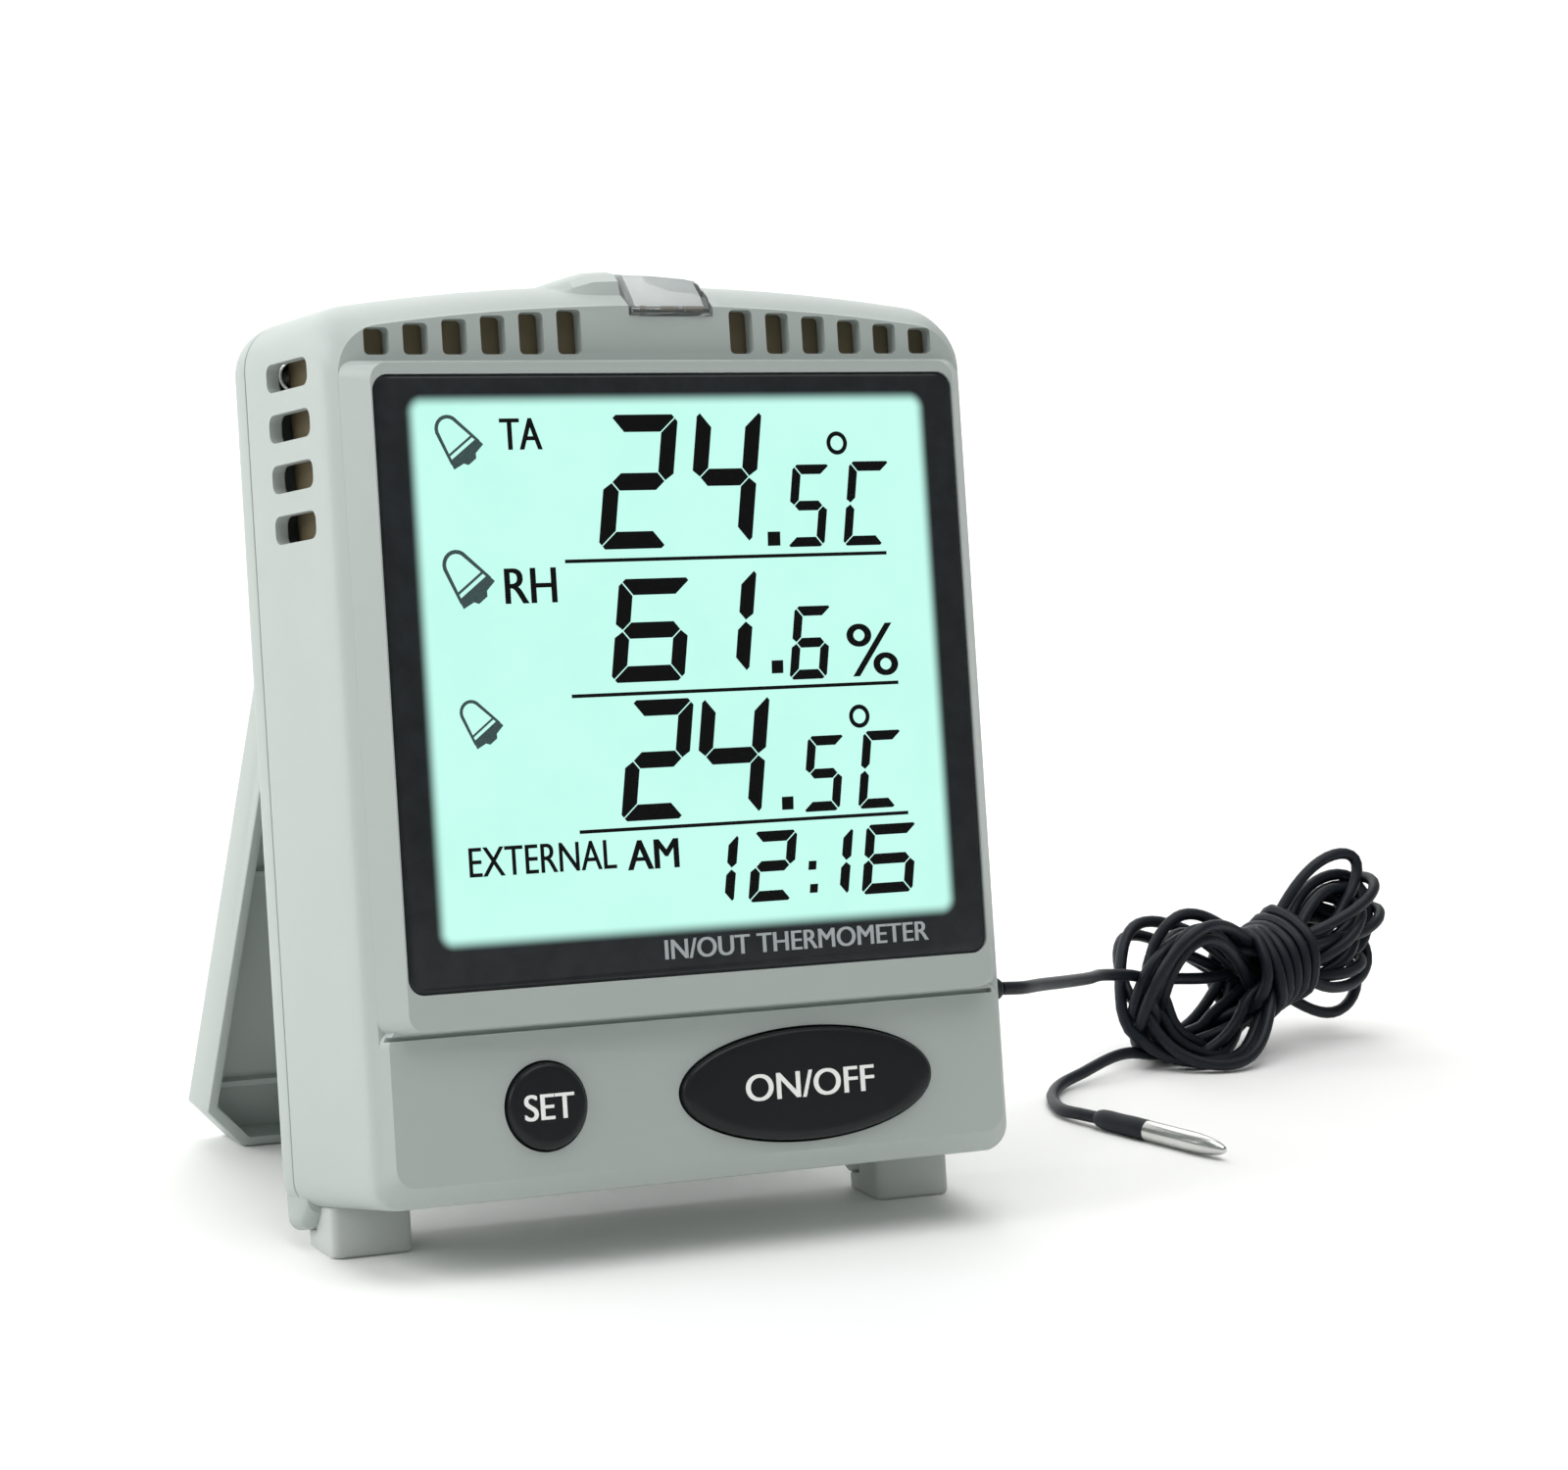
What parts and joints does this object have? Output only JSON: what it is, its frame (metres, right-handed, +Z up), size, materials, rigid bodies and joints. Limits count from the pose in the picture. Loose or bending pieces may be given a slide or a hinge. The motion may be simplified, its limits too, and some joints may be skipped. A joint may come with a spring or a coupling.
{
  "type": "maximum minimum thermometer",
  "caption": "Desktop digital thermometer and humidity monitor with a lit display, push buttons, a fold-out stand and a wired steel probe on a tied cable.",
  "frame": {"origin": "middle of the base of the case and its open stand, on the surface it stands on", "axes": "+X to the right seen from the front, +Y to the back, +Z up; the display faces -Y and leans back"},
  "size_m": [0.2785, 0.138, 0.1622],
  "materials": {
    "case_plastic": "fine moulded texture, pale green-grey",
    "dark_plastic": "satin",
    "window": "clear acrylic with a dark printed border",
    "lcd": "lit mint display",
    "clear_plastic": "clear",
    "white_plastic": "plain moulded",
    "strip": "layered conductive rubber",
    "board": "glass fibre board",
    "black_plastic": "plain",
    "silicone": "matte",
    "steel": "bright",
    "cell": "plain wrapped can",
    "jacket": "soft near-black jacket",
    "sleeve": "heat-shrunk sleeve",
    "foot_rubber": "matte",
    "led_red": "tinted"
  },
  "bodies": {
    "case": {"alarm_led": "led_red", "alarm_lens": "clear_plastic", "backlight_led_left": "white_plastic", "backlight_led_right": "white_plastic", "battery_spring_lower": "steel", "battery_spring_upper": "steel", "board_screw_1": "steel", "board_screw_2": "steel", "board_screw_3": "steel", "board_screw_4": "steel", "buzzer": "black_plastic", "cable_hank": "jacket", "cable_tail": "jacket", "case_screw_1": "steel", "case_screw_2": "steel", "case_screw_3": "steel", "case_screw_4": "steel", "cell_lower": "cell", "cell_upper": "cell", "climate_sensor": "white_plastic", "connector_strip": "strip", "contact_plate_lower": "steel", "contact_plate_upper": "steel", "controller_blob": "black_plastic", "crystal": "steel", "display_window": "window", "foot_pad_left": "foot_rubber", "foot_pad_right": "foot_rubber", "front_cover": "case_plastic", "hinge_pin_left": "steel", "hinge_pin_right": "steel", "keypad_mat": "silicone", "lcd_holder": "white_plastic", "lcd_panel": "lcd", "light_guide": "clear_plastic", "main_board": "board", "probe_cable": "jacket", "probe_connector": "white_plastic", "probe_sleeve": "sleeve", "probe_strain_relief": "jacket", "probe_tip": "steel", "rear_cover": "case_plastic", "sensor_board": "board", "spring_plate_lower": "steel", "spring_plate_upper": "steel"},
    "stand": {"stand": "case_plastic"},
    "set_button": {"set_button": "dark_plastic"},
    "power_button": {"power_button": "dark_plastic"},
    "battery_door": {"battery_door": "case_plastic"}
  },
  "joints": [
    {"name": "stand_hinge", "type": "hinge", "parent": "case", "child": "stand", "pos_m": [0, 0.00883, 0.10867], "axis": [1, 0, 0], "range_deg": [-31.2, 0]},
    {"name": "set_press", "type": "slide", "parent": "case", "child": "set_button", "axis": [0, 0.9778, -0.2096], "range_m": [0, 0.0008], "stiffness_N_per_m": 800, "springref_m": -0.0005},
    {"name": "power_press", "type": "slide", "parent": "case", "child": "power_button", "axis": [0, 0.9778, -0.2096], "range_m": [0, 0.0008], "stiffness_N_per_m": 800, "springref_m": -0.0005},
    {"name": "battery_door_lift", "type": "slide", "parent": "case", "child": "battery_door", "axis": [0, 0.9778, -0.2096], "range_m": [0, 0.02]}
  ]
}
